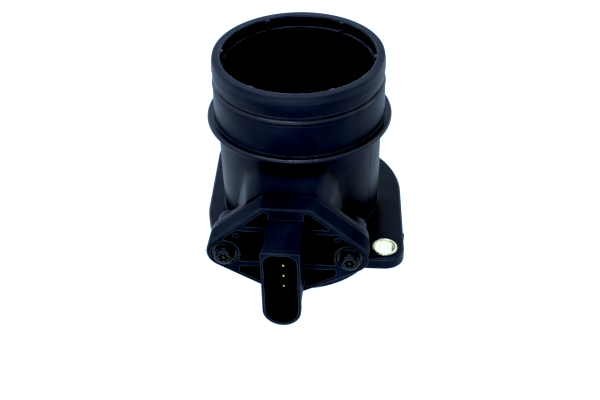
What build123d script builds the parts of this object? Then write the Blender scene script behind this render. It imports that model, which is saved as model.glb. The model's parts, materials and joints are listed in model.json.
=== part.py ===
from build123d import *
import math
import os

# Mass airflow sensor: a moulded air duct with a plug-in hot-film sensor screwed to its side.
# Millimetres.  The duct axis is Z and air flows up it, from the inlet spigot to the outlet spigot.
# The seat of the mounting flange, its underside, is the plane z = 0.
# The plug-in sensor slides in along +Y, so its flange and socket look towards -Y.

# Duct, measured up and down from the seat of the flange
outlet_height = 75.8
inlet_length = 21.5
bore_radius = 30.4
tube_foot_wall = 2.8
tube_top_wall = 3.5
rim_chamfer = 0.9

# Outlet spigot, from the collar up
collar_top = 49.2
collar_thickness = 2.5
collar_width = 3.0
collar_round = 1.1
collar_root_round = 0.6
spigot_wall = 4.7
hose_groove_drop = 10.4
hose_groove_depth = 0.8
hose_groove_half_width = 0.8
hose_groove_ramp = 1.8
bead_foot_inset = 0.4
bead_belly = 5.4
bead_shoulder = 2.6
bead_round = 9.0
outlet_rim_width = 3.4
outlet_rim_round = 0.4
outlet_ledge_width = 0.8
outlet_recess_depth = 5.0
outlet_lip_chamfer = 0.5
recess_rib_count = 6
recess_rib_width = 1.6
recess_rib_height = 0.6
recess_rib_foot = 1.2

# Inlet spigot
inlet_ledge_width = 0.8
inlet_wall = 1.9
inlet_recess_depth = 9.0
inlet_seal_drop = 8.5
inlet_seal_section = 2.6
inlet_seal_groove_depth = 1.5

# Radii that follow from the bore and the walls
tube_foot_radius = bore_radius + tube_foot_wall
tube_top_radius = bore_radius + tube_top_wall
spigot_radius = bore_radius + spigot_wall
collar_radius = spigot_radius + collar_width
hose_groove_radius = spigot_radius - hose_groove_depth
bead_foot_radius = spigot_radius - bead_foot_inset
outlet_recess_radius = bore_radius + outlet_ledge_width
inlet_recess_radius = bore_radius + inlet_ledge_width
inlet_radius = inlet_recess_radius + inlet_wall

# Mounting flange
flange_thickness = 5.0
lobe_radius = 8.0
near_bolt = (37.6, -33.4)
far_bolt = (-33.0, 30.0)
flange_round_radius = 43.0
flange_round_start = 4.0
flange_round_end = 54.0
far_round_centre = (0.0, 4.0)
near_round_centre = (4.0, -8.2)
flange_corner_round = 9.0
flange_edge_chamfer = 0.6

# Bushes pressed in the flange
bush_radius = 5.2
bush_hole_radius = 4.1
bush_stand_proud = 0.3
bush_clearance = 0.02
bush_edge_chamfer = 0.25

# Sensor flange, a plate across the sensor axis
sensor_height = 16.3
pad_face = 46.4
plate_thickness = 9.2
plate_rise = 22.6
plate_top_half_width = 10.3
plate_corner_radius = 1.0
plate_drop = 21.1
plate_foot_radius = 5.0
screw_spacing = 49.3
plate_lobe_radius = 7.4
plate_edge_chamfer = 0.5

# Pockets moulded in the face of the sensor flange
pocket_depth = 6.8
pocket_wall = 2.0
pocket_corner_radius = 0.5
screw_wall_radius = 6.4
upper_rib_height = 12.4
upper_rib_width = 2.3
lower_rib_height = -4.9
lower_rib_width = 2.5
lower_pocket_reach = 19.0
dowel_offset = 19.9
dowel_rise = 8.3
dowel_radius = 1.4
dowel_recess = 0.8

# Sensor pedestal on the duct
pad_margin = 0.5
pad_thickness = 4.4
boss_radius = 5.6
boss_length = 12.6
boss_back_round = 2.0
hood_root = 22.0
hood_root_half_width = 14.6
hood_root_rise = 31.1
hood_root_left_shoulder = (-20.4, 20.6)
hood_root_right_shoulder = (19.2, 19.0)
hood_root_left_side = 24.2
hood_root_right_side = 21.3
hood_root_foot = 20.0
hood_face = 44.0
hood_face_half_width = 10.2
hood_face_rise = 22.0
hood_face_left_shoulder = (-16.8, 17.0)
hood_face_right_shoulder = (15.6, 15.6)
hood_face_left_side = 21.5
hood_face_right_side = 18.6
hood_face_foot = 8.6
hood_crest_round = 1.5
hood_shoulder_round = 4.0
hood_side_round = 8.0

# Socket for the plug, seen along Y
socket_front = 76.3
socket_half_width = 7.5
socket_rise = 18.1
socket_drop = 17.5
socket_corner_radius = 0.9
socket_wall = 1.25
mouth_corner_radius = 3.7
mouth_depth = 18.0
latch_rim_length = 2.2
latch_rim_step = 0.45

# Terminals, all on the sensor's middle plane
terminal_count = 4
terminal_pitch = 5.05
upper_terminal_count = 2
terminal_width = 1.2
terminal_exposed = 9.3
terminal_taper_length = 1.4
terminal_tip_width = 0.6
terminal_bend_start = 53.0
terminal_bend_end = 48.0
terminal_tail_pitch = 3.4
terminal_tail_thickness = 0.6
terminal_tail_end = 28.8

# Neck that fills the sensor port
neck_radius = 14.0
neck_length = 10.4
neck_clearance = 0.15
neck_seal_offset = 5.2
neck_seal_section = 2.4
neck_seal_groove_depth = 2.3
seal_side_clearance = 0.1

# Probe that hangs in the air stream
probe_thickness = 12.0
probe_chord = 24.0
probe_tip = 16.0
probe_tip_round = 2.5
slot_clearance = 0.5
port_step = 0.4

# Electronics chamber in the +X side of the probe
chamber_floor = 1.5
chamber_start = 31.0
chamber_end = 4.0
chamber_chord = 18.0
cover_thickness = 1.3
cover_clearance = 0.1
cover_seat = 1.2
chamber_round = 1.5
base_plate_thickness = 0.8
base_plate_start = 27.9
base_plate_inset = 0.4
board_thickness = 0.7
board_inset = 0.6
board_end = 6.4
chip_thickness = 1.2
chip_side = 6.5
chip_place = 16.0

# Measuring channel across the tip of the probe
channel_start = 3.5
channel_end = 12.5
channel_mouth_length = 3.0
throat_width = 6.0
throat_half_length = 4.0
channel_cover_start = 1.4
tip_wall = 1.2
element_thickness = 0.5
element_width = 4.0
element_root = 5.9
element_reach = 8.0
element_clearance = 0.1

# Screws that hold the sensor
screw_radius = 2.0
screw_engagement = 8.0
screw_pilot_spare = 0.4
screw_hole_clearance = 0.25
screw_pilot_clearance = 0.03
screw_seat_recess = 1.0
screw_seat_radius = 5.5
screw_washer_radius = 5.0
screw_washer_thickness = 0.9
screw_head_radius = 4.1
screw_head_height = 3.9
screw_head_round = 1.5
screw_drive_radius = 2.3
screw_drive_depth = 1.7
screw_drive_lobes = 6
screw_drive_lobe_radius = 0.65
screw_pin_radius = 0.6
screw_point_length = 1.2
screw_point_radius = 1.0

# Flow grille and wire screen in the inlet
insert_clearance = 0.1
grille_setback = 0.8
grille_height = 7.2
grille_rim = 2.0
grille_pitch = 6.4
grille_wall = 0.9
screen_ring_thickness = 0.8
screen_ring_width = 1.6
screen_pitch = 5.6
screen_wire = 0.5
least_cell_share = 0.3

# How far a cut runs past the face it opens
cut_overrun = 1.0


def across(distance):
    """Plane at right angles to the sensor axis, facing -Y, with its origin on that axis."""
    return Plane(origin=(0, -distance, sensor_height), x_dir=(1, 0, 0), z_dir=(0, -1, 0))


def hull(circles):
    """Outline stretched round circles given as (x, y, radius)."""
    edges = [edge for x, y, radius in circles for edge in (Pos(x, y) * Circle(radius)).edges()]
    return make_hull(edges)


def block(x_range, y_range, z_range):
    """Box between two corners."""
    size = [high - low for low, high in (x_range, y_range, z_range)]
    middle = [(high + low) / 2 for low, high in (x_range, y_range, z_range)]
    return Pos(*middle) * Box(*size)


def corners(face, *points):
    """Corners of a flat outline that lie nearest to the given points."""
    return [min(face.vertices(), key=lambda v: math.dist((v.X, v.Y), point)) for point in points]


def ring_of_round_section(centre_radius, section):
    """O-ring about Z, at the origin."""
    return Torus(centre_radius, section / 2)


# ---------------------------------------------------------------- duct

def duct_wall():
    """Turned wall of the duct with its collar, bead, grooves and recesses."""
    collar_bottom = collar_top - collar_thickness
    groove_middle = outlet_height - hose_groove_drop
    groove_low = groove_middle - hose_groove_half_width
    groove_high = groove_middle + hose_groove_half_width
    seal_low = -inlet_seal_drop - inlet_seal_section / 2 - seal_side_clearance
    seal_high = -inlet_seal_drop + inlet_seal_section / 2 + seal_side_clearance
    seal_floor = inlet_radius - inlet_seal_groove_depth
    rim_outer = outlet_recess_radius + outlet_rim_width
    outside = [
        (inlet_radius - rim_chamfer, -inlet_length),
        (inlet_radius, -inlet_length + rim_chamfer),
        (inlet_radius, seal_low),
        (seal_floor, seal_low),
        (seal_floor, seal_high),
        (inlet_radius, seal_high),
        (inlet_radius, 0),
        (tube_foot_radius, flange_thickness),
        (tube_top_radius, collar_bottom),
        (collar_radius, collar_bottom),
        (collar_radius, collar_top),
        (spigot_radius, collar_top),
        (spigot_radius, groove_low - hose_groove_ramp),
        (hose_groove_radius, groove_low),
        (hose_groove_radius, groove_high),
        (bead_foot_radius, groove_high + bead_foot_radius - hose_groove_radius),
        (spigot_radius, outlet_height - bead_belly),
        (spigot_radius, outlet_height - bead_shoulder),
        (rim_outer, outlet_height),
    ]
    inside = [
        (outlet_recess_radius + outlet_lip_chamfer, outlet_height),
        (outlet_recess_radius, outlet_height - outlet_lip_chamfer),
        (outlet_recess_radius, outlet_height - outlet_recess_depth),
        (bore_radius, outlet_height - outlet_recess_depth),
        (bore_radius, inlet_recess_depth - inlet_length),
        (inlet_recess_radius, inlet_recess_depth - inlet_length),
        (inlet_recess_radius, -inlet_length),
    ]
    section = make_face(Polyline(*outside, *inside, close=True))
    collar_edges = [(collar_radius, collar_bottom), (collar_radius, collar_top)]
    section = fillet(corners(section, *collar_edges), collar_round)
    section = fillet(corners(section, (spigot_radius, collar_top)), collar_root_round)
    section = fillet(corners(section, (spigot_radius, outlet_height - bead_belly)), bead_round)
    section = fillet(corners(section, (spigot_radius, outlet_height - bead_shoulder)), bead_round)
    section = fillet(corners(section, (rim_outer, outlet_height)), outlet_rim_round)
    return revolve(Plane.XZ * section, Axis.Z)


def recess_ribs():
    """Ribs down the wall of the outlet recess, each on a small foot, at even angles."""
    top = outlet_height - outlet_lip_chamfer
    floor = outlet_height - outlet_recess_depth
    inner = outlet_recess_radius - recess_rib_height
    half = recess_rib_width / 2
    rib = block((-half, half), (inner, outlet_recess_radius + recess_rib_height), (floor, top))
    foot = block((-half, half), (bore_radius, outlet_recess_radius), (floor, floor + recess_rib_foot))
    first = 180 / recess_rib_count
    turn = 360 / recess_rib_count
    return [Rot(0, 0, first + turn * step) * (rib + foot) for step in range(recess_rib_count)]


def flange_plate():
    """Mounting flange: two bolt lobes, and two large rounds half a turn apart."""
    sweep = flange_round_end - flange_round_start
    far_round = CenterArc(far_round_centre, flange_round_radius, flange_round_start, sweep)
    near_round = CenterArc(near_round_centre, flange_round_radius, flange_round_start + 180, sweep)
    lobes = [(Pos(*bolt) * Circle(lobe_radius)).edge() for bolt in (near_bolt, far_bolt)]
    outline = make_hull([far_round.edge(), near_round.edge(), *lobes])
    ends = [arc @ 1 for arc in (far_round, near_round)]
    outline = fillet(corners(outline, *[(end.X, end.Y) for end in ends]), flange_corner_round)
    plate = extrude(outline, flange_thickness)
    top_edges = plate.faces().sort_by(Axis.Z)[-1].edges()
    return chamfer(top_edges, flange_edge_chamfer)


def plate_outline(margin=0.0):
    """Outline of the sensor flange: flat top, two screw lobes and a rounded foot."""
    corner = plate_corner_radius
    side = plate_top_half_width - corner
    rise = plate_rise - corner
    half = screw_spacing / 2
    return hull([
        (-half, 0, plate_lobe_radius - margin),
        (half, 0, plate_lobe_radius - margin),
        (-side, rise, corner - margin),
        (side, rise, corner - margin),
        (0, plate_foot_radius - plate_drop, plate_foot_radius - margin),
    ])


def hood_section(half_width, rise, left_shoulder, right_shoulder, left_side, right_side, foot):
    """Section of the pedestal: flat top, round shoulders, steep sides and flat bottom."""
    right = [(foot, -sensor_height), (right_side, 0), right_shoulder, (half_width, rise)]
    left = [(-half_width, rise), left_shoulder, (-left_side, 0), (-foot, -sensor_height)]
    shape = make_face(Polyline(*right, *left, close=True))
    shape = fillet(corners(shape, right[3], left[0]), hood_crest_round)
    shape = fillet(corners(shape, right[2], left[1]), hood_shoulder_round)
    return fillet(corners(shape, right[1], left[2]), hood_side_round)


def pedestal():
    """Moulded pedestal that carries the sensor flange: hood, pad and two screw bosses."""
    root = across(hood_root) * hood_section(
        hood_root_half_width, hood_root_rise, hood_root_left_shoulder, hood_root_right_shoulder,
        hood_root_left_side, hood_root_right_side, hood_root_foot)
    face = across(hood_face) * hood_section(
        hood_face_half_width, hood_face_rise, hood_face_left_shoulder, hood_face_right_shoulder,
        hood_face_left_side, hood_face_right_side, hood_face_foot)
    hood = loft([root, face])
    pad = extrude(across(pad_face - pad_thickness) * plate_outline(pad_margin), pad_thickness)
    boss_back = across(pad_face - boss_length)
    bosses = [
        extrude(boss_back * (Pos(side * screw_spacing / 2, 0) * Circle(boss_radius)), boss_length)
        for side in (-1, 1)
    ]
    bosses = [fillet(boss.edges().sort_by(Axis.Y)[-1], boss_back_round) for boss in bosses]
    return hood + pad + bosses


def screw_pilots():
    """Blind holes in the bosses for the two sensor screws."""
    depth = screw_engagement + screw_pilot_spare
    radius = screw_radius + screw_pilot_clearance
    start = across(pad_face - depth)
    return [
        extrude(start * (Pos(side * screw_spacing / 2, 0) * Circle(radius)), depth)
        for side in (-1, 1)
    ]


def sensor_port():
    """Round port for the neck, then a slot through the duct wall for the probe."""
    bottom = pad_face - neck_length - port_step
    port = extrude(across(bottom) * Circle(neck_radius + neck_clearance), neck_length + port_step)
    slot_width = probe_thickness + 2 * slot_clearance
    slot_chord = probe_chord + 2 * slot_clearance
    slot_depth = bottom - bore_radius / 2
    slot = extrude(across(bore_radius / 2) * Rectangle(slot_width, slot_chord), slot_depth)
    return port + slot


def housing():
    """The duct, one moulding."""
    body = duct_wall() + flange_plate() + pedestal()
    bore = Cylinder(bore_radius, 2 * outlet_height)
    body = body - bore
    body = body + recess_ribs()
    body = body - sensor_port() - screw_pilots()
    hole = Cylinder(bush_radius + bush_clearance, 3 * flange_thickness)
    return body - [Pos(*place) * hole for place in (near_bolt, far_bolt)]


def flange_bush(place):
    """Metal bush that takes the clamp load of one flange bolt."""
    length = flange_thickness + bush_stand_proud
    tube = Cylinder(bush_radius, length) - Cylinder(bush_hole_radius, 2 * length)
    tube = chamfer(tube.edges().filter_by(GeomType.CIRCLE), bush_edge_chamfer)
    return Pos(*place, length / 2) * tube


# ---------------------------------------------------------------- inlet parts

def inlet_seal():
    """O-ring in the groove of the inlet spigot."""
    centre = inlet_radius - inlet_seal_groove_depth + inlet_seal_section / 2
    return Pos(0, 0, -inlet_seal_drop) * ring_of_round_section(centre, inlet_seal_section)


def cells(radius, pitch, wall):
    """Square cells at even pitch, cut off at a circle, with slivers left out."""
    side = pitch - wall
    count = math.ceil(radius / pitch)
    limit = Circle(radius)
    found = []
    for column in range(-count, count + 1):
        for row in range(-count, count + 1):
            cell = (Pos(pitch * column, pitch * row) * Rectangle(side, side)) & limit
            if cell and cell.area >= least_cell_share * side * side:
                found.append(cell)
    return found


def flow_grille():
    """Moulded lattice in the inlet that straightens the air."""
    outer = inlet_recess_radius - insert_clearance
    open_radius = outer - grille_rim
    face = Circle(outer) - cells(open_radius, grille_pitch, grille_wall)
    return extrude(Pos(0, 0, grille_setback - inlet_length) * face, grille_height)


def screen_floor():
    """Height of the underside of the wire screen, just above the grille."""
    return grille_setback + grille_height - inlet_length


def screen_ring():
    """Metal ring that stretches the wire screen against the shoulder of the recess."""
    outer = inlet_recess_radius - insert_clearance
    ring = Circle(outer) - Circle(outer - screen_ring_width)
    return extrude(Pos(0, 0, screen_floor()) * ring, screen_ring_thickness)


def wire_screen():
    """Wire screen welded inside its ring."""
    outer = inlet_recess_radius - insert_clearance - screen_ring_width
    face = Circle(outer) - cells(outer - screen_wire, screen_pitch, screen_wire)
    lift = (screen_ring_thickness - screen_wire) / 2
    return extrude(Pos(0, 0, screen_floor() + lift) * face, screen_wire)


# ---------------------------------------------------------------- plug-in sensor

def socket_outline(step, corner):
    """Outline of the socket: squared at the top, half round at the bottom."""
    half = socket_half_width - step
    rise = socket_rise - step
    drop = socket_drop - step
    box = Pos(0, (rise - drop + half) / 2) * Rectangle(2 * half, rise + drop - half)
    top = box.vertices().sort_by(Axis.Y)[-2:]
    return fillet(top, corner) + Pos(0, half - drop) * Circle(half)


def pocket_field():
    """Area of the sensor flange that is hollowed out, ribs and screw seats left standing."""
    inner = offset(plate_outline(), -pocket_wall)
    half = screw_spacing / 2
    inner = inner - [Pos(side * half, 0) * Circle(screw_wall_radius) for side in (-1, 1)]
    wide = 2 * screw_spacing
    inner = inner - Pos(0, upper_rib_height) * Rectangle(wide, upper_rib_width)
    inner = inner - Pos(0, lower_rib_height) * Rectangle(wide, lower_rib_width)
    for side in (-1, 1):
        end = Pos(side * (lower_pocket_reach + wide / 2), lower_rib_height - wide / 2)
        inner = inner - end * Rectangle(wide, wide)
    spine = 2 * (socket_half_width - latch_rim_step)
    inner = inner - Rectangle(spine, wide)
    radius = pocket_corner_radius
    return Sketch() + [offset(offset(field, -radius), radius) for field in inner.faces()]


def terminal_heights():
    """Heights of the fitted terminals above the sensor axis, top one first."""
    return [(upper_terminal_count - step) * terminal_pitch for step in range(terminal_count)]


def terminal(height):
    """Stamped terminal: square blade in the socket, bend in the flange, flat tail to the board."""
    tip = socket_front - mouth_depth + terminal_exposed
    shoulder = tip - terminal_taper_length
    square = Pos(0, height) * Rectangle(terminal_width, terminal_width)
    point = Pos(0, height) * Rectangle(terminal_tip_width, terminal_tip_width)
    blade = extrude(across(terminal_bend_start) * square, shoulder - terminal_bend_start)
    nose = loft([across(shoulder) * square, across(tip) * point])
    tail_height = height / terminal_pitch * terminal_tail_pitch
    tail_x = chamber_floor + base_plate_thickness + board_thickness + terminal_tail_thickness / 2
    tail_shape = Pos(tail_x, tail_height) * Rectangle(terminal_tail_thickness, terminal_width)
    bend = loft([across(terminal_bend_end) * tail_shape, across(terminal_bend_start) * square])
    tail = extrude(across(terminal_tail_end) * tail_shape, terminal_bend_end - terminal_tail_end)
    return blade + nose + bend + tail


def carrier_plate():
    """Sensor flange with its pockets, ribs, screw holes and location posts."""
    plate = extrude(across(pad_face) * plate_outline(), plate_thickness)
    front = plate.faces().sort_by(Axis.Y)[0]
    plate = chamfer(front.edges(), plate_edge_chamfer)
    plate_front = pad_face + plate_thickness
    pockets = extrude(across(plate_front - pocket_depth) * pocket_field(), pocket_depth)
    plate = plate - pockets
    post_length = pocket_depth - dowel_recess
    posts = [
        extrude(across(plate_front - pocket_depth) * (
            Pos(side * dowel_offset, dowel_rise) * Circle(dowel_radius)), post_length)
        for side in (-1, 1)
    ]
    radius = screw_radius + screw_hole_clearance
    holes = [
        extrude(across(pad_face) * (Pos(side * screw_spacing / 2, 0) * Circle(radius)), plate_thickness)
        for side in (-1, 1)
    ]
    seats = [
        extrude(across(plate_front - screw_seat_recess) * (
            Pos(side * screw_spacing / 2, 0) * Circle(screw_seat_radius)), screw_seat_recess)
        for side in (-1, 1)
    ]
    return plate + posts - holes - seats


def socket_shell():
    """Socket that the plug is pushed into, with the rim that the plug's wire latch holds."""
    rim_start = socket_front - latch_rim_length
    base = pad_face + plate_thickness - pocket_depth
    shell = extrude(across(base) * socket_outline(latch_rim_step, socket_corner_radius), rim_start - base)
    rim = extrude(across(rim_start) * socket_outline(0, socket_corner_radius), latch_rim_length)
    mouth = extrude(across(socket_front - mouth_depth) * socket_outline(
        socket_wall, mouth_corner_radius), mouth_depth)
    return shell + rim - mouth


def neck():
    """Round neck that fills the port, with the groove for its seal."""
    body = extrude(across(pad_face - neck_length) * Circle(neck_radius), neck_length)
    width = neck_seal_section + 2 * seal_side_clearance
    start = pad_face - neck_seal_offset - width / 2
    ring = Circle(neck_radius + cut_overrun) - Circle(neck_radius - neck_seal_groove_depth)
    return body - extrude(across(start) * ring, width)


def probe_body():
    """Flat probe with a rounded tip, and the hollows for electronics and measuring channel."""
    half = probe_thickness / 2
    low = sensor_height - probe_chord / 2
    high = sensor_height + probe_chord / 2
    root = -(pad_face - neck_length)
    body = block((-half, half), (root, probe_tip), (low, high))
    tip_edges = body.faces().sort_by(Axis.Y)[-1].edges().filter_by(Axis.X)
    body = fillet(tip_edges, probe_tip_round)
    return body - chamber() - channel()


def chamber():
    """Hollow for the board and the stepped seat of its cover."""
    half = probe_thickness / 2
    depth = half - chamber_floor
    length = chamber_start - chamber_end
    middle = (chamber_start + chamber_end) / 2
    side = Plane(origin=(chamber_floor, -middle, sensor_height), x_dir=(0, 1, 0), z_dir=(1, 0, 0))
    hollow = extrude(side * RectangleRounded(length, chamber_chord, chamber_round), depth)
    seat_plane = side.offset(depth - cover_thickness)
    seat = extrude(seat_plane * RectangleRounded(
        length + 2 * cover_seat, chamber_chord + 2 * cover_seat, chamber_round + cover_seat), cover_thickness)
    element_low = chamber_floor + base_plate_thickness - element_clearance
    element_high = chamber_floor + base_plate_thickness + element_thickness + element_clearance
    half_slot = element_width / 2 + element_clearance
    throat = (channel_start + channel_end) / 2
    passage = block((element_low, element_high), (-chamber_end - cut_overrun, throat),
                    (sensor_height - half_slot, sensor_height + half_slot))
    return hollow + seat + passage


def channel_shape():
    """Side view of the measuring channel, waisted at the sensing element."""
    middle = (channel_start + channel_end) / 2
    half = probe_chord / 2
    wide = (channel_end - channel_start) / 2
    waist = throat_width / 2
    mouth = half - channel_mouth_length
    right = [(wide, -half - cut_overrun), (wide, -mouth), (waist, -throat_half_length),
             (waist, throat_half_length), (wide, mouth), (wide, half + cut_overrun)]
    left = [(-x, z) for x, z in reversed(right)]
    return Pos(middle, 0) * make_face(Polyline(*right, *left, close=True))


def channel():
    """Measuring channel from the upstream edge to the downstream edge, and its cover's seat."""
    half = probe_thickness / 2
    side = Plane(origin=(chamber_floor, 0, sensor_height), x_dir=(0, 1, 0), z_dir=(1, 0, 0))
    groove = extrude(side * channel_shape(), half - chamber_floor)
    chord = probe_chord / 2 + cut_overrun
    seat = block((half - cover_thickness, half), (channel_cover_start, probe_tip - tip_wall),
                 (sensor_height - chord, sensor_height + chord))
    return groove + seat


def sensor_carrier():
    """Plug-in sensor body, one moulding from socket to probe tip, with its terminals moulded in."""
    body = carrier_plate() + socket_shell() + neck() + probe_body()
    return body - [terminal(height) for height in terminal_heights()]


def carrier_seal():
    """O-ring on the neck of the sensor."""
    centre = neck_radius - neck_seal_groove_depth + neck_seal_section / 2
    place = across(pad_face - neck_seal_offset)
    return place * ring_of_round_section(centre, neck_seal_section)


def electronics_cover():
    """Lid over the electronics chamber."""
    length = chamber_start - chamber_end + 2 * (cover_seat - cover_clearance)
    chord = chamber_chord + 2 * (cover_seat - cover_clearance)
    middle = (chamber_start + chamber_end) / 2
    plane = Plane(origin=(probe_thickness / 2 - cover_thickness, -middle, sensor_height),
                  x_dir=(0, 1, 0), z_dir=(1, 0, 0))
    corner = chamber_round + cover_seat - cover_clearance
    return extrude(plane * RectangleRounded(length, chord, corner), cover_thickness)


def bypass_cover():
    """Lid that closes the side of the measuring channel."""
    half = probe_thickness / 2
    chord = probe_chord / 2
    return block((half - cover_thickness, half),
                 (channel_cover_start + cover_clearance, probe_tip - tip_wall - cover_clearance),
                 (sensor_height - chord, sensor_height + chord))


def base_plate():
    """Aluminium plate under the board, which also holds the sensing element."""
    half = chamber_chord / 2 - base_plate_inset
    return block((chamber_floor, chamber_floor + base_plate_thickness),
                 (-base_plate_start, -chamber_end - base_plate_inset),
                 (sensor_height - half, sensor_height + half))


def circuit_board():
    """Ceramic board on the base plate."""
    floor = chamber_floor + base_plate_thickness
    half = chamber_chord / 2 - base_plate_inset - board_inset
    return block((floor, floor + board_thickness),
                 (-base_plate_start + board_inset, -board_end),
                 (sensor_height - half, sensor_height + half))


def signal_chip():
    """Signal processor on the board."""
    floor = chamber_floor + base_plate_thickness + board_thickness
    half = chip_side / 2
    return block((floor, floor + chip_thickness), (-chip_place - half, -chip_place + half),
                 (sensor_height - half, sensor_height + half))


def sensing_element():
    """Hot-film strip that reaches from the base plate into the measuring channel."""
    floor = chamber_floor + base_plate_thickness
    half = element_width / 2
    return block((floor, floor + element_thickness), (-element_root, element_reach),
                 (sensor_height - half, sensor_height + half))


def sensor_screw(side):
    """Pan-head screw with a washer face and a six-lobed drive with a centre pin."""
    seat = pad_face + plate_thickness - screw_seat_recess
    shank_length = plate_thickness - screw_seat_recess + screw_engagement
    place = Pos(side * screw_spacing / 2, 0)
    core = shank_length - screw_point_length
    shank = extrude(across(seat - core) * (place * Circle(screw_radius)), core)
    point = loft([across(seat - shank_length) * (place * Circle(screw_point_radius)),
                  across(seat - core) * (place * Circle(screw_radius))])
    washer = extrude(across(seat) * (place * Circle(screw_washer_radius)), screw_washer_thickness)
    dome_start = seat + screw_washer_thickness
    dome_height = screw_head_height - screw_washer_thickness
    dome = extrude(across(dome_start) * (place * Circle(screw_head_radius)), dome_height)
    dome = fillet(dome.faces().sort_by(Axis.Y)[0].edges(), screw_head_round)
    lobe_centre = screw_drive_radius - screw_drive_lobe_radius
    drive = Circle(lobe_centre)
    for lobe in range(screw_drive_lobes):
        angle = 360 / screw_drive_lobes * lobe
        drive = drive + Rot(0, 0, angle) * Pos(lobe_centre, 0) * Circle(screw_drive_lobe_radius)
    drive = drive - Circle(screw_pin_radius)
    recess = extrude(across(seat + screw_head_height - screw_drive_depth) * (place * drive),
                     screw_drive_depth)
    return shank + point + washer + dome - recess


def parts():
    """Every separate piece of the sensor by name."""
    pieces = {
        "housing": housing(),
        "flange_bush_near": flange_bush(near_bolt),
        "flange_bush_far": flange_bush(far_bolt),
        "inlet_seal": inlet_seal(),
        "flow_grille": flow_grille(),
        "wire_screen": wire_screen(),
        "screen_ring": screen_ring(),
        "sensor_carrier": sensor_carrier(),
        "carrier_seal": carrier_seal(),
        "electronics_cover": electronics_cover(),
        "bypass_cover": bypass_cover(),
        "base_plate": base_plate(),
        "circuit_board": circuit_board(),
        "signal_chip": signal_chip(),
        "sensing_element": sensing_element(),
        "sensor_screw_left": sensor_screw(-1),
        "sensor_screw_right": sensor_screw(1),
    }
    for number, height in enumerate(terminal_heights(), start=1):
        pieces[f"terminal_{number}"] = terminal(height)
    return pieces


os.makedirs("parts", exist_ok=True)
for name, shape in parts().items():
    export_step(shape, f"parts/{name}.step")
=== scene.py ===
import json
import math

import bmesh
import bpy
from mathutils import Matrix, Vector


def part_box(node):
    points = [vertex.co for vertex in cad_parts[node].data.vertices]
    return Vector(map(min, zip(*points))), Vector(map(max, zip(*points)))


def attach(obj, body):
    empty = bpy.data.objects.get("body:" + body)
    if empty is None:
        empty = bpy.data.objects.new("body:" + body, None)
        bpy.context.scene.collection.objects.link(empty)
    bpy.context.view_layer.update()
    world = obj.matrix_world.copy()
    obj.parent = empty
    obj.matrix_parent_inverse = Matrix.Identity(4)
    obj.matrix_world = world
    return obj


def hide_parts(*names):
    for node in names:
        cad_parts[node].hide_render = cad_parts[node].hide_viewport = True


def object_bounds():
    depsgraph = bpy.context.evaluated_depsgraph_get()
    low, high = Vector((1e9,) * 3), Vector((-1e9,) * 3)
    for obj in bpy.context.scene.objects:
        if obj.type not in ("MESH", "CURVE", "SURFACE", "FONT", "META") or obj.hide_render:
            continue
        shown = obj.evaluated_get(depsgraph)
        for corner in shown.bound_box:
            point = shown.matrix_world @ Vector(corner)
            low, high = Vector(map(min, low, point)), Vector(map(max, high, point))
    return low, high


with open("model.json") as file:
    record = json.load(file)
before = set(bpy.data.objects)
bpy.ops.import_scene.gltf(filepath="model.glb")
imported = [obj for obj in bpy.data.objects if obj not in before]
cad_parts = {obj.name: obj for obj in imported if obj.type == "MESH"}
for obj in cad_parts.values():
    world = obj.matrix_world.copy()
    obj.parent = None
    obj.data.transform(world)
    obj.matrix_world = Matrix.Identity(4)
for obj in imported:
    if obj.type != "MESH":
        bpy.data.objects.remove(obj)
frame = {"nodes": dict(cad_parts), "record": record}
cad_low, cad_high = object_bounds()

# Metres.  The duct axis is Z, the plug socket looks towards -Y, the flange's seat is z = 0.
MM = 0.001

# Camera, as the photograph was taken
CAMERA_PLACE = (42.96 * MM, -383.48 * MM, 292.30 * MM)
CAMERA_AZIMUTH = 6.49
CAMERA_ELEVATION = 36.96
CAMERA_ROLL = -1.34
CAMERA_LENS = 66.0
CAMERA_NEAR = 0.01
SENSOR_WIDTH = 36.0

# Surroundings and floor, tinted blue and brighter than white, so that they print as plain white
WORLD_STRENGTH = 0.9
WORLD_TINT = (1.05, 1.35, 1.75)
FLOOR_REACH = 4.0
FLOOR_GAP = 0.02 * MM
FLOOR_DARK = (0.04, 0.04, 0.04)
FLOOR_PALE = (0.05, 0.05, 0.05)
FLOOR_CLOUD = {"scale": 6.0, "detail": 2.0}
FLOOR_STOPS = (0.3, 0.7)
FLOOR_ROUGHNESS = 0.9
FLOOR_SHINE = 0.1
FLOOR_CELLS = 8
FLOOR_GLOW = 1.0
FLOOR_TINT = (1.04, 1.40, 1.85)
LIGHT_TARGET = (0.0, 0.0, 0.03)
BLACK_LEVEL = (0.0125, 0.0185, 0.035)

# Sheen of the filled plastic, and how far from an edge it is paler, partly as rubbed wear and partly
# as a painted highlight
PLASTIC_IOR = 1.15
SHEEN_TINT = (0.38, 0.50, 0.60)
RUB_AND_HIGHLIGHT_REACH = 0.9 * MM
POLISH_OF_EDGES = 0.5
POLISH_ROUGHNESS = 0.22
POLISH_IOR = 1.5

# Noises below have their scale in cells a metre.  Stops are where a noise has reached its two
# colours, a range is the part of a noise that is used, and a share or roughness is what it becomes.
NOISE_MIDDLE = (0.3, 0.7)

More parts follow.
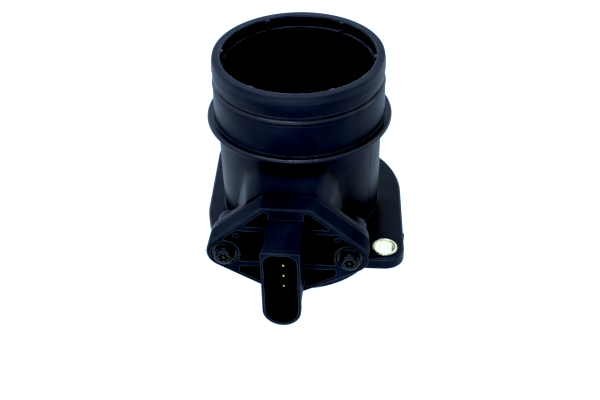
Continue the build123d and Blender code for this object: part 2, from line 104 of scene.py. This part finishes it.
# Detail of the plastic
CLOUD = {"scale": 55.0, "detail": 4.0, "roughness": 0.55, "distortion": 0.6}
CLOUD_STOPS = (0.35, 0.68)
FIBRES = {"scale": 900.0, "detail": 2.0, "roughness": 0.6, "distortion": 1.5}
FIBRE_RANGE = (0.58, 0.75)
FIBRE_SHARE = (0.0, 0.35)
# Noise that breaks up the paler edges, which are partly rubbed wear and partly painted highlight
RUB_AND_HIGHLIGHT = {"scale": 160.0}
RUB_AND_HIGHLIGHT_SHARE = (0.35, 1.0)
HANDLED = {"scale": 38.0, "detail": 5.0, "roughness": 0.6, "distortion": 0.4}
PLASTIC_ROUGHNESS_CHANGE = (-0.06, 0.07)
EDGE_ROUGHNESS_CHANGE = -0.08
WAVE = {"scale": 70.0, "detail": 2.0, "roughness": 0.4}
WAVE_HEIGHT = 0.5 * MM
WAVE_STRENGTH = 0.10
GRAIN = {"scale": 2600.0, "detail": 2.0}
GRAIN_HEIGHT = 0.05 * MM

# How far the rounded normal turns from the true one, as 1 - cosine: where an edge starts, and
# where it is full
PLASTIC_EDGE = (0.015, 0.14)
METAL_EDGE = (0.01, 0.12)
SCREW_EDGE = (0.02, 0.14)
BEVEL_SAMPLES = 6

# Metals: rounding of their edges, stains, and lines left by turning or drawing
METAL_ROUND = 0.15 * MM
# How far from an edge a metal's colour is darkened, a painted shade
METAL_EDGE_REACH = 0.6 * MM
STAIN = {"scale": 420.0, "detail": 4.0, "roughness": 0.6, "distortion": 0.5}
STAIN_STOPS = (0.32, 0.62)
METAL_HAZE = {"scale": 700.0}
METAL_ROUGHNESS_CHANGE = (-0.07, 0.09)
LINE_DISTORTION = 1.2
LINE_DETAIL = 2.0
LINE_HEIGHT = 0.03 * MM

# Coating of the screws
SCREW_ROUND = 0.80 * MM
CHIPS = {"scale": 900.0, "roughness": 0.6}
CHIP_RANGE = (0.45, 0.75)
CHIP_SHARE = (0.0, 0.12)
COATING = {"scale": 500.0}
COATING_STOPS = (0.35, 0.65)
COATING_HAZE = {"scale": 300.0, "detail": 4.0}
COATING_ROUGHNESS = (0.14, 0.26)
PITS = {"scale": 1500.0, "detail": 2.0}
PIT_HEIGHT = 0.03 * MM
PIT_STRENGTH = 0.25
SCREW_IOR = 1.2
SCREW_SHINE = 0.03
SCREW_SHINE_ROUGHNESS = 0.28

# Rubber and the small inner parts
SKIN_STRENGTH = 0.3
BLOOM = {"scale": 260.0, "detail": 4.0, "roughness": 0.6}
BLOOM_STOPS = (0.35, 0.7)
BLOOM_ROUGHNESS = (0.48, 0.66)
RUBBER_SKIN = {"scale": 1800.0, "detail": 2.0}
RUBBER_SKIN_HEIGHT = 0.04 * MM
MOTTLE = {"scale": 800.0, "roughness": 0.6}
MOTTLE_STOPS = (0.35, 0.65)
MOTTLE_ROUGHNESS_CHANGE = (-0.08, 0.08)
INNER_SKIN = {"scale": 2500.0, "detail": 2.0}
INNER_SKIN_HEIGHT = 0.03 * MM

# Circuit board
TRACK_SCALE = 260.0
TRACK_WIDTH = 0.035
RESISTORS = {"scale": 600.0, "detail": 2.0}
RESISTOR_RANGE = (0.60, 0.66)
RESISTOR_SHARE = (0.0, 0.8)
CERAMIC_HAZE = {"scale": 200.0}
CERAMIC_ROUGHNESS = (0.35, 0.6)

# Inside this box of the frame the hood on the tube is shaded as if softly rounded
HOOD_LOW = (-27.0 * MM, -60.0 * MM, 9.0 * MM)
HOOD_HIGH = (27.0 * MM, -26.0 * MM, 45.0 * MM)
SOFT_BORDER = 2.0 * MM
SOFT_REACH = 7.0 * MM

# Narrow bands of the duct that catch the light: lowest and highest z, and share of polish
COLLAR_BAND = (48.6 * MM, 49.05 * MM, 0.36)
LIP_BAND = (64.5 * MM, 65.2 * MM, 0.42)
BEAD_BAND = (72.5 * MM, 74.8 * MM, 0.10)
BAND_REACH = 60.0 * MM
BAND_BORDER = 0.2 * MM

# Mould seams on the tube
SEAM_ANGLES = (-25.3, 154.7)
SEAM_WIDTH = 0.35 * MM
SEAM_HEIGHT = 0.09 * MM
SEAM_SUNK = 0.05 * MM
SEAM_STEPS = 5
SEAM_LOW = 5.4 * MM
SEAM_HIGH = 46.4 * MM
TUBE_FOOT_RADIUS = 33.2 * MM
TUBE_TOP_RADIUS = 33.9 * MM
TUBE_FOOT = 5.0 * MM
TUBE_TOP = 46.7 * MM

# Lip below the hose groove: a round of this radius that stands a little out of the spigot's land
LIP_ROUND = 1.15 * MM
LIP_CENTRE_RADIUS = 34.12 * MM
LIP_CENTRE_HEIGHT = 64.0 * MM
LIP_START = -60.0
LIP_END = 90.0
LIP_ARC_STEPS = 14
LIP_STEPS = 192

# Gate mark on the edge of the flange
GATE_PLACE = (44.86 * MM, -23.0 * MM)
GATE_RADIUS = 0.55 * MM
GATE_END_SHARE = 0.5
GATE_LOW = 0.6 * MM
GATE_HIGH = 4.2 * MM
GATE_SIDES = 16

# Woven wire screen
SCREEN_PITCH = 1.6 * MM
WIRE_RADIUS = 0.11 * MM
WIRE_SIDES = 5
WEAVE_STEPS = 2
WEAVE_LIFT = 0.95 * WIRE_RADIUS


# ---------------------------------------------------------------- materials

def node_tree(name):
    """New material with an empty node tree; returns the material, its tree and its shader."""
    material = bpy.data.materials.new(name)
    material.use_nodes = True
    tree = material.node_tree
    tree.nodes.clear()
    output = tree.nodes.new("ShaderNodeOutputMaterial")
    shader = tree.nodes.new("ShaderNodeBsdfPrincipled")
    tree.links.new(shader.outputs["BSDF"], output.inputs["Surface"])
    return material, tree, shader


def place_of_surface(tree):
    """Object coordinates, in metres."""
    return tree.nodes.new("ShaderNodeTexCoord").outputs["Object"]


def noise(tree, scale, detail=3.0, roughness=0.5, distortion=0.0):
    """Noise over the object's coordinates, scale in cells a metre."""
    node = tree.nodes.new("ShaderNodeTexNoise")
    node.inputs["Scale"].default_value = scale
    node.inputs["Detail"].default_value = detail
    node.inputs["Roughness"].default_value = roughness
    node.inputs["Distortion"].default_value = distortion
    tree.links.new(place_of_surface(tree), node.inputs["Vector"])
    return node.outputs["Fac"]


def ramp(tree, factor, stops, *colours):
    """Colour ramp with one colour at each of two stops."""
    node = tree.nodes.new("ShaderNodeValToRGB")
    for element, position, colour in zip(node.color_ramp.elements, stops, colours):
        element.position = position
        element.color = (*colour, 1.0)
    tree.links.new(factor, node.inputs["Fac"])
    return node.outputs["Color"]


def spread(tree, factor, target, source=NOISE_MIDDLE):
    """Maps a factor from a source range, by default the middle of a noise's, to a target range."""
    node = tree.nodes.new("ShaderNodeMapRange")
    node.inputs["From Min"].default_value = source[0]
    node.inputs["From Max"].default_value = source[1]
    node.inputs["To Min"].default_value = target[0]
    node.inputs["To Max"].default_value = target[1]
    tree.links.new(factor, node.inputs["Value"])
    return node.outputs["Result"]


def vary_roughness(tree, factor, roughness, change):
    """Roughness that a noise moves between a little less and a little more."""
    return spread(tree, factor, (roughness + change[0], roughness + change[1]))


def blend(tree, factor, first, second):
    """Mix of two colours or normals, each a socket or a plain colour."""
    node = tree.nodes.new("ShaderNodeMix")
    node.data_type = "RGBA"
    tree.links.new(factor, node.inputs["Factor"])
    for socket, value in ((node.inputs["A"], first), (node.inputs["B"], second)):
        if isinstance(value, tuple):
            socket.default_value = (*value, 1.0)
        else:
            tree.links.new(value, socket)
    return node.outputs["Result"]


def arithmetic(tree, operation, first, second, clamp=False):
    """Arithmetic on two sockets, or a socket and a number."""
    node = tree.nodes.new("ShaderNodeMath")
    node.operation = operation
    node.use_clamp = clamp
    for socket, value in ((node.inputs[0], first), (node.inputs[1], second)):
        if isinstance(value, (int, float)):
            socket.default_value = value
        else:
            tree.links.new(value, socket)
    return node.outputs["Value"]


def rounded_normal(tree, radius):
    """Normal that rounds every edge by a small radius."""
    node = tree.nodes.new("ShaderNodeBevel")
    node.samples = BEVEL_SAMPLES
    node.inputs["Radius"].default_value = radius
    return node.outputs["Normal"]


def edge_share(tree, rounded, limits):
    """How near a point lies to an edge, from the turn between the true and the rounded normal."""
    geometry = tree.nodes.new("ShaderNodeNewGeometry")
    dot = tree.nodes.new("ShaderNodeVectorMath")
    dot.operation = "DOT_PRODUCT"
    tree.links.new(geometry.outputs["Normal"], dot.inputs[0])
    tree.links.new(rounded, dot.inputs[1])
    turned = arithmetic(tree, "SUBTRACT", 1.0, dot.outputs["Value"])
    return spread(tree, turned, (0.0, 1.0), limits)


def bump(tree, height, distance, strength, normal=None):
    """Bump from a height socket."""
    node = tree.nodes.new("ShaderNodeBump")
    node.inputs["Strength"].default_value = strength
    node.inputs["Distance"].default_value = distance
    tree.links.new(height, node.inputs["Height"])
    if normal is not None:
        tree.links.new(normal, node.inputs["Normal"])
    return node.outputs["Normal"]


def within_box(tree, low, high, border):
    """1 inside a box of object coordinates, 0 outside, with a soft border."""
    split = tree.nodes.new("ShaderNodeSeparateXYZ")
    tree.links.new(place_of_surface(tree), split.inputs[0])
    inside = 1.0
    for socket, start, end in zip(split.outputs, low, high):
        rise = spread(tree, socket, (0.0, 1.0), (start - border, start))
        fall = spread(tree, socket, (1.0, 0.0), (end, end + border))
        inside = arithmetic(tree, "MULTIPLY", arithmetic(tree, "MULTIPLY", rise, fall), inside)
    return inside


def moulded_plastic(name, deep, pale, worn_and_highlit, roughness, grain, gloss=0.5, edge_radius=0.35 * MM,
                    edge_paling=0.6, soft_box=None, polished_bands=()):
    """Satin glass-filled moulding: cloudy colour, fine grain, scuffs, and paler edges that are
    partly rubbed wear and partly a painted highlight.
    """
    material, tree, shader = node_tree(name)
    colour = ramp(tree, noise(tree, **CLOUD), CLOUD_STOPS, deep, pale)
    fibre_share = spread(tree, noise(tree, **FIBRES), FIBRE_SHARE, FIBRE_RANGE)
    colour = blend(tree, fibre_share, colour, pale)
    rounded = rounded_normal(tree, edge_radius)
    if soft_box is not None:
        inside = within_box(tree, *soft_box, SOFT_BORDER)
        rounded = blend(tree, inside, rounded, rounded_normal(tree, SOFT_REACH))
    edge = edge_share(tree, rounded_normal(tree, RUB_AND_HIGHLIGHT_REACH), PLASTIC_EDGE)
    rub_and_highlight = spread(tree, noise(tree, **RUB_AND_HIGHLIGHT), RUB_AND_HIGHLIGHT_SHARE)
    edge = arithmetic(tree, "MULTIPLY", edge, rub_and_highlight, clamp=True)
    if soft_box is not None:
        outside = arithmetic(tree, "SUBTRACT", 1.0, inside)
        edge = arithmetic(tree, "MULTIPLY", edge, outside, clamp=True)
    # Paler edge colour: partly rubbed wear, partly painted highlight lines along the edges
    colour = blend(tree, arithmetic(tree, "MULTIPLY", edge, edge_paling), colour, worn_and_highlit)
    tree.links.new(colour, shader.inputs["Base Color"])
    rough = vary_roughness(tree, noise(tree, **HANDLED), roughness, PLASTIC_ROUGHNESS_CHANGE)
    smoother = arithmetic(tree, "MULTIPLY", edge, EDGE_ROUGHNESS_CHANGE)
    tree.links.new(arithmetic(tree, "ADD", rough, smoother), shader.inputs["Roughness"])
    fine = noise(tree, **GRAIN)
    wave = noise(tree, **WAVE)
    normal = bump(tree, wave, WAVE_HEIGHT, WAVE_STRENGTH, rounded)
    normal = bump(tree, fine, GRAIN_HEIGHT, grain, normal)
    tree.links.new(normal, shader.inputs["Normal"])
    shader.inputs["IOR"].default_value = PLASTIC_IOR
    shader.inputs["Specular IOR Level"].default_value = gloss
    shader.inputs["Specular Tint"].default_value = (*SHEEN_TINT, 1.0)
    polish = arithmetic(tree, "MULTIPLY", edge, POLISH_OF_EDGES)
    for low, high, share in polished_bands:
        band_low = (-BAND_REACH, -BAND_REACH, low)
        band_high = (BAND_REACH, BAND_REACH, high)
        band = within_box(tree, band_low, band_high, BAND_BORDER)
        band_polish = arithmetic(tree, "MULTIPLY", band, share)
        polish = arithmetic(tree, "ADD", band_polish, polish, clamp=True)
    tree.links.new(polish, shader.inputs["Coat Weight"])
    shader.inputs["Coat Roughness"].default_value = POLISH_ROUGHNESS
    shader.inputs["Coat IOR"].default_value = POLISH_IOR
    return material


def metal(name, dark, bright, roughness, line_scale, line_depth, painted_edge_shade=None):
    """Plated or turned metal with fine lines and small stains, and where asked with edges darkened
    as a painted shade.
    """
    material, tree, shader = node_tree(name)
    colour = ramp(tree, noise(tree, **STAIN), STAIN_STOPS, dark, bright)
    if painted_edge_shade is not None:
        # Darker edges, a painted shade that outlines the part's rims
        edge = edge_share(tree, rounded_normal(tree, METAL_EDGE_REACH), METAL_EDGE)
        colour = blend(tree, edge, colour, painted_edge_shade)
    tree.links.new(colour, shader.inputs["Base Color"])
    shader.inputs["Metallic"].default_value = 1.0
    rough = vary_roughness(tree, noise(tree, **METAL_HAZE), roughness, METAL_ROUGHNESS_CHANGE)
    tree.links.new(rough, shader.inputs["Roughness"])
    wave = tree.nodes.new("ShaderNodeTexWave")
    wave.bands_direction = "Z"
    wave.inputs["Scale"].default_value = line_scale
    wave.inputs["Distortion"].default_value = LINE_DISTORTION
    wave.inputs["Detail"].default_value = LINE_DETAIL
    tree.links.new(place_of_surface(tree), wave.inputs["Vector"])
    rounded = rounded_normal(tree, METAL_ROUND)
    lines = bump(tree, wave.outputs["Fac"], LINE_HEIGHT, line_depth, rounded)
    tree.links.new(lines, shader.inputs["Normal"])
    return material


def coated_screw(name, deep, pale, bare):
    """Black glossy coating on steel, worn on the edges of the drive and the washer face."""
    material, tree, shader = node_tree(name)
    rounded = rounded_normal(tree, SCREW_ROUND)
    edge = edge_share(tree, rounded, SCREW_EDGE)
    edge_paling = spread(tree, noise(tree, **CHIPS), CHIP_SHARE, CHIP_RANGE)
    share = arithmetic(tree, "MULTIPLY", edge, edge_paling, clamp=True)
    coat = ramp(tree, noise(tree, **COATING), COATING_STOPS, deep, pale)
    colour = blend(tree, share, coat, bare)
    tree.links.new(colour, shader.inputs["Base Color"])
    rough = spread(tree, noise(tree, **COATING_HAZE), COATING_ROUGHNESS)
    tree.links.new(rough, shader.inputs["Roughness"])
    shine = arithmetic(tree, "ADD", edge, SCREW_SHINE, clamp=True)
    tree.links.new(shine, shader.inputs["Coat Weight"])
    shader.inputs["Coat Roughness"].default_value = SCREW_SHINE_ROUGHNESS
    shader.inputs["IOR"].default_value = SCREW_IOR
    shader.inputs["Specular Tint"].default_value = (*SHEEN_TINT, 1.0)
    pits = bump(tree, noise(tree, **PITS), PIT_HEIGHT, PIT_STRENGTH, rounded)
    tree.links.new(pits, shader.inputs["Normal"])
    return material


def rubber(name, deep, pale):
    """Black rubber with a dusty bloom."""
    material, tree, shader = node_tree(name)
    bloom = noise(tree, **BLOOM)
    colour = ramp(tree, bloom, BLOOM_STOPS, deep, pale)
    tree.links.new(colour, shader.inputs["Base Color"])
    tree.links.new(spread(tree, bloom, BLOOM_ROUGHNESS), shader.inputs["Roughness"])
    skin = bump(tree, noise(tree, **RUBBER_SKIN), RUBBER_SKIN_HEIGHT, SKIN_STRENGTH)
    tree.links.new(skin, shader.inputs["Normal"])
    return material


def ceramic_board(name, ceramic, ceramic_grey, track, resistor):
    """Fired ceramic with printed silver tracks and dark resistors."""
    material, tree, shader = node_tree(name)
    tracks = tree.nodes.new("ShaderNodeTexBrick")
    tracks.inputs["Scale"].default_value = TRACK_SCALE
    tracks.inputs["Mortar Size"].default_value = TRACK_WIDTH
    tracks.inputs["Color1"].default_value = (*ceramic, 1.0)
    tracks.inputs["Color2"].default_value = (*ceramic_grey, 1.0)
    tracks.inputs["Mortar"].default_value = (*track, 1.0)
    turn = tree.nodes.new("ShaderNodeMapping")
    turn.inputs["Rotation"].default_value = (0.0, math.radians(90.0), 0.0)
    tree.links.new(place_of_surface(tree), turn.inputs["Vector"])
    tree.links.new(turn.outputs["Vector"], tracks.inputs["Vector"])
    speck = spread(tree, noise(tree, **RESISTORS), RESISTOR_SHARE, RESISTOR_RANGE)
    colour = blend(tree, speck, tracks.outputs["Color"], resistor)
    tree.links.new(colour, shader.inputs["Base Color"])
    rough = spread(tree, noise(tree, **CERAMIC_HAZE), CERAMIC_ROUGHNESS)
    tree.links.new(rough, shader.inputs["Roughness"])
    return material


def plain_matter(name, dark, pale, roughness):
    """Small inner part: mottled colour, soft sheen and fine bump."""
    material, tree, shader = node_tree(name)
    mottle = noise(tree, **MOTTLE)
    colour = ramp(tree, mottle, MOTTLE_STOPS, dark, pale)
    tree.links.new(colour, shader.inputs["Base Color"])
    rough = vary_roughness(tree, mottle, roughness, MOTTLE_ROUGHNESS_CHANGE)
    tree.links.new(rough, shader.inputs["Roughness"])
    skin = bump(tree, noise(tree, **INNER_SKIN), INNER_SKIN_HEIGHT, SKIN_STRENGTH)
    tree.links.new(skin, shader.inputs["Normal"])
    return material


def make_materials():
    """One finished material for each slot of the record."""
    return {
        # The worn colours below are paler edges, partly rubbed wear and partly painted highlight
        # lines
        "duct_plastic": moulded_plastic(
            "duct_moulding", deep=(0.0054, 0.0074, 0.0155), pale=(0.0085, 0.0116, 0.0222),
            worn_and_highlit=(0.065, 0.080, 0.115), roughness=0.40, grain=0.22,
            soft_box=(HOOD_LOW, HOOD_HIGH), polished_bands=(COLLAR_BAND, LIP_BAND, BEAD_BAND)),
        "sensor_plastic": moulded_plastic(
            "sensor_moulding", deep=(0.0066, 0.0096, 0.0178), pale=(0.0098, 0.0141, 0.0252),
            worn_and_highlit=(0.060, 0.074, 0.108), roughness=0.40, grain=0.20, gloss=0.03,
            edge_radius=0.30 * MM, edge_paling=0.25),
        "lattice_plastic": moulded_plastic(
            "lattice_moulding", deep=(0.010, 0.011, 0.014), pale=(0.018, 0.020, 0.025),
            worn_and_highlit=(0.05, 0.055, 0.065), roughness=0.45, grain=0.20, edge_radius=0.15 * MM),
        "steel_wire": metal(
            "drawn_wire", dark=(0.42, 0.42, 0.42), bright=(0.68, 0.68, 0.66),
            roughness=0.32, line_scale=600.0, line_depth=0.15),
        # The bush's darker edge colour is a painted shade along its rims
        "plated_bush": metal(
            "zinc_plate", dark=(0.72, 0.60, 0.34), bright=(0.95, 0.86, 0.58),
            roughness=0.26, line_scale=420.0, line_depth=0.30, painted_edge_shade=(0.12, 0.10, 0.02)),
        "seal_rubber": rubber(
            "seal_rubber", deep=(0.008, 0.010, 0.015), pale=(0.018, 0.022, 0.032)),
        "plate_aluminium": metal(
            "rolled_aluminium", dark=(0.62, 0.62, 0.62), bright=(0.80, 0.80, 0.80),
            roughness=0.36, line_scale=300.0, line_depth=0.2),
        "board_ceramic": ceramic_board(
            "ceramic_board", ceramic=(0.70, 0.69, 0.62), ceramic_grey=(0.62, 0.62, 0.56),
            track=(0.36, 0.37, 0.36), resistor=(0.05, 0.05, 0.055)),
        "chip_resin": plain_matter(
            "chip_resin", dark=(0.018, 0.018, 0.020), pale=(0.034, 0.034, 0.036), roughness=0.5),
        "element_ceramic": plain_matter(
            "element_film", dark=(0.42, 0.46, 0.43), pale=(0.56, 0.60, 0.56), roughness=0.35),
        "black_screw_steel": coated_screw(
            "screw_coating", deep=(0.003, 0.005, 0.010), pale=(0.006, 0.009, 0.018),
            bare=(0.16, 0.18, 0.22)),
        "contact_metal": metal(
            "contact_flash", dark=(0.62, 0.44, 0.17), bright=(0.86, 0.68, 0.33),
            roughness=0.26, line_scale=500.0, line_depth=0.15),
    }


def dress_nodes(materials):
    """Gives every CAD node the finish of its slot."""
    slot_of = {part["node"]: part["material_slot"] for part in frame["record"]["subparts"]}
    for name, node in frame["nodes"].items():
        node.data.materials.clear()
        node.data.materials.append(materials[slot_of[name]])


# ---------------------------------------------------------------- added pieces

def mesh_object(name, work, material, smooth=True):
    """Object from a bmesh, finished with one material."""
    bmesh.ops.recalc_face_normals(work, faces=work.faces)
    mesh = bpy.data.meshes.new(name)
    work.to_mesh(mesh)
    work.free()
    for face in mesh.polygons:
        face.use_smooth = smooth
    piece = bpy.data.objects.new(name, mesh)
    bpy.context.scene.collection.objects.link(piece)
    mesh.materials.append(material)
    return piece


def tube_radius(height):
    """Outer radius of the tapered tube at a height."""
    share = (height - TUBE_FOOT) / (TUBE_TOP - TUBE_FOOT)
    return TUBE_FOOT_RADIUS + share * (TUBE_TOP_RADIUS - TUBE_FOOT_RADIUS)


def seam_line(work, angle):
    """Thin raised parting line up the tube, rounded over, with its foot sunk in the wall."""
    turn = Matrix.Rotation(math.radians(angle), 4, "Z")
    rows = []
    for height in (SEAM_LOW, SEAM_HIGH):
        radius = tube_radius(height)
        row = []
        for step in range(SEAM_STEPS + 1):
            across = (step / SEAM_STEPS - 0.5) * 2.0
            rise = SEAM_HEIGHT * math.sqrt(1.0 - across * across)
            sunk = -SEAM_SUNK if abs(across) == 1.0 else 0.0
            point = Vector((radius + rise + sunk, across * SEAM_WIDTH / 2, height))
            row.append(work.verts.new(turn @ point))
        rows.append(row)
    for step in range(SEAM_STEPS):
        work.faces.new((rows[0][step], rows[0][step + 1], rows[1][step + 1], rows[1][step]))
    work.faces.new((rows[0][0], rows[1][0], rows[1][-1], rows[0][-1]))
    work.faces.new(rows[1])
    work.faces.new(list(reversed(rows[0])))


def mould_seams(material):
    """The two parting lines of the duct's mould."""
    work = bmesh.new()
    for angle in SEAM_ANGLES:
        seam_line(work, angle)
    piece = mesh_object("mould_seams", work, material)
    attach(piece, "root")


def hose_lip(material):
    """Rounded lip that edges the hose groove on its lower side."""
    section = [(LIP_CENTRE_RADIUS, LIP_CENTRE_HEIGHT)]
    for step in range(LIP_ARC_STEPS + 1):
        turn = math.radians(LIP_START + (LIP_END - LIP_START) * step / LIP_ARC_STEPS)
        section.append((
            LIP_CENTRE_RADIUS + LIP_ROUND * math.cos(turn),
            LIP_CENTRE_HEIGHT + LIP_ROUND * math.sin(turn)))
    work = bmesh.new()
    rings = []
    for step in range(LIP_STEPS):
        angle = 2 * math.pi * step / LIP_STEPS
        rings.append([
            work.verts.new((radius * math.cos(angle), radius * math.sin(angle), height))
            for radius, height in section])
    count = len(section)
    for step, ring in enumerate(rings):
        after = rings[(step + 1) % LIP_STEPS]
        for corner in range(count):
            beyond = (corner + 1) % count
            work.faces.new((ring[corner], after[corner], after[beyond], ring[beyond]))
    piece = mesh_object("hose_lip", work, material)
    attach(piece, "root")


def gate_mark(material):
    """Small round stub, partly sunk in the flange's edge, left where the gate was cut off."""
    work = bmesh.new()
    rings = []
    outline = (
        (GATE_LOW, GATE_END_SHARE),
        (GATE_LOW + GATE_RADIUS / 2, 1.0),
        (GATE_HIGH - GATE_RADIUS / 2, 1.0),
        (GATE_HIGH, GATE_END_SHARE))
    for height, share in outline:
        ring = []
        for side in range(GATE_SIDES):
            angle = 2 * math.pi * side / GATE_SIDES
            ring.append(work.verts.new((
                GATE_PLACE[0] + share * GATE_RADIUS * math.cos(angle),
                GATE_PLACE[1] + share * GATE_RADIUS * math.sin(angle), height)))
        rings.append(ring)
    for lower, upper in zip(rings, rings[1:]):
        for side in range(GATE_SIDES):
            after = (side + 1) % GATE_SIDES
            work.faces.new((lower[side], lower[after], upper[after], upper[side]))
    work.faces.new(list(reversed(rings[0])))
    work.faces.new(rings[-1])
    piece = mesh_object("gate_mark", work, material)
    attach(piece, "root")


def wire(work, points, up):
    """Closed round wire through points that run in one direction."""
    rings = []
    for index, point in enumerate(points):
        ahead = points[min(index + 1, len(points) - 1)] - points[max(index - 1, 0)]
        side = ahead.cross(up).normalized()
        lift = side.cross(ahead).normalized()
        ring = []
        for corner in range(WIRE_SIDES):
            angle = 2 * math.pi * corner / WIRE_SIDES
            outward = math.cos(angle) * side + math.sin(angle) * lift
            ring.append(work.verts.new(point + WIRE_RADIUS * outward))
        rings.append(ring)
    for first, second in zip(rings, rings[1:]):
        for corner in range(WIRE_SIDES):
            after = (corner + 1) % WIRE_SIDES
            work.faces.new((first[corner], first[after], second[after], second[corner]))
    work.faces.new(list(reversed(rings[0])))
    work.faces.new(rings[-1])


def woven_screen(material):
    """Fine woven wire screen in place of the coarse one, wires passing over and under each other."""
    low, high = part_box("wire_screen")
    middle = (low[2] + high[2]) / 2
    radius = (high[0] - low[0]) / 2 - WIRE_RADIUS
    count = math.floor(radius / SCREEN_PITCH)
    up = Vector((0.0, 0.0, 1.0))
    work = bmesh.new()
    for direction in range(2):
        for line in range(-count, count + 1):
            offset = line * SCREEN_PITCH
            half = math.sqrt(radius * radius - offset * offset)
            reach = math.floor(half / SCREEN_PITCH * WEAVE_STEPS)
            points = []
            for step in range(-reach, reach + 1):
                along = step * SCREEN_PITCH / WEAVE_STEPS
                phase = math.cos(math.pi * (along / SCREEN_PITCH + line + direction))
                place = (along, offset) if direction == 0 else (offset, along)
                points.append(Vector((*place, middle + WEAVE_LIFT * phase)))
            if len(points) > 1:
                wire(work, points, up)
    piece = mesh_object("woven_screen", work, material)
    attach(piece, "root")
    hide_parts("wire_screen")


# ---------------------------------------------------------------- camera, light and floor

def make_camera():
    """Camera at the photograph's place and angle."""
    azimuth = math.radians(CAMERA_AZIMUTH)
    elevation = math.radians(CAMERA_ELEVATION)
    roll = math.radians(CAMERA_ROLL)
    back = Vector((
        math.sin(azimuth) * math.cos(elevation),
        -math.cos(azimuth) * math.cos(elevation),
        math.sin(elevation)))
    right = Vector((math.cos(azimuth), math.sin(azimuth), 0.0))
    up = back.cross(right)
    rolled_right = math.cos(roll) * right + math.sin(roll) * up
    rolled_up = math.cos(roll) * up - math.sin(roll) * right
    data = bpy.data.cameras.new("photo_camera")
    data.lens = CAMERA_LENS
    data.sensor_width = SENSOR_WIDTH
    data.clip_start = CAMERA_NEAR
    camera = bpy.data.objects.new("photo_camera", data)
    turn = Matrix((rolled_right, rolled_up, back)).transposed()
    camera.matrix_world = Matrix.Translation(CAMERA_PLACE) @ turn.to_4x4()
    bpy.context.scene.collection.objects.link(camera)
    bpy.context.scene.camera = camera


def area_light(name, place, size, power, colour=(1.0, 1.0, 1.0)):
    """Soft rectangular light that faces the part."""
    data = bpy.data.lights.new(name, "AREA")
    data.shape = "RECTANGLE"
    data.size, data.size_y = size
    data.energy = power
    data.color = colour
    lamp = bpy.data.objects.new(name, data)
    lamp.location = place
    lamp.rotation_mode = "QUATERNION"
    back = Vector(place) - Vector(LIGHT_TARGET)
    lamp.rotation_quaternion = back.to_track_quat("Z", "Y")
    bpy.context.scene.collection.objects.link(lamp)


def make_light():
    """Bright surroundings and seven soft lamps: two in front, two behind, three at the sides."""
    world = bpy.data.worlds.new("studio")
    world.use_nodes = True
    sky = world.node_tree.nodes["Background"]
    sky.inputs["Color"].default_value = (*WORLD_TINT, 1.0)
    sky.inputs["Strength"].default_value = WORLD_STRENGTH
    bpy.context.scene.world = world
    area_light("front_top", place=(-0.17, -0.15, 0.80), size=(0.50, 0.10), power=3.6,
               colour=(0.85, 0.97, 1.2))
    area_light("front_low", place=(-0.10, -0.90, 0.10), size=(0.8, 0.25), power=6.0,
               colour=(0.90, 0.97, 1.10))
    area_light("back_high", place=(-0.35, 0.90, 0.65), size=(0.9, 0.25), power=1.9,
               colour=(0.60, 0.90, 1.50))
    area_light("back_fill", place=(-0.05, 1.00, 0.06), size=(0.40, 0.20), power=2.6,
               colour=(0.80, 0.97, 1.25))
    area_light("right_fill", place=(0.95, 0.15, 0.10), size=(0.40, 0.25), power=1.2,
               colour=(0.90, 0.97, 1.10))
    area_light("left_side", place=(-0.65, -0.10, 0.35), size=(0.3, 0.5), power=0.2)
    area_light("right_side", place=(0.70, 0.10, 0.25), size=(0.25, 0.5), power=0.05)


def make_floor():
    """Plain pale floor just under the part's lowest point."""
    work = bmesh.new()
    bmesh.ops.create_grid(
        work, x_segments=FLOOR_CELLS, y_segments=FLOOR_CELLS, size=FLOOR_REACH)
    bmesh.ops.translate(work, verts=work.verts, vec=(0.0, 0.0, cad_low[2] - FLOOR_GAP))
    material, tree, shader = node_tree("pale_floor")
    tone = ramp(tree, noise(tree, **FLOOR_CLOUD), FLOOR_STOPS, FLOOR_DARK, FLOOR_PALE)
    tree.links.new(tone, shader.inputs["Base Color"])
    shader.inputs["Roughness"].default_value = FLOOR_ROUGHNESS
    shader.inputs["Specular IOR Level"].default_value = FLOOR_SHINE
    shader.inputs["Emission Color"].default_value = (*FLOOR_TINT, 1.0)
    shader.inputs["Emission Strength"].default_value = FLOOR_GLOW
    floor = mesh_object("floor", work, material, smooth=False)


def set_tone():
    """Plain display transform with deepened, bluish blacks like the photograph's."""
    settings = bpy.context.scene.view_settings
    settings.view_transform = "Standard"
    settings.use_curve_mapping = True
    settings.curve_mapping.black_level = BLACK_LEVEL
    settings.curve_mapping.update()


materials = make_materials()
dress_nodes(materials)
mould_seams(materials["duct_plastic"])
hose_lip(materials["duct_plastic"])
gate_mark(materials["duct_plastic"])
woven_screen(materials["steel_wire"])
make_camera()
make_light()
make_floor()
set_tone()
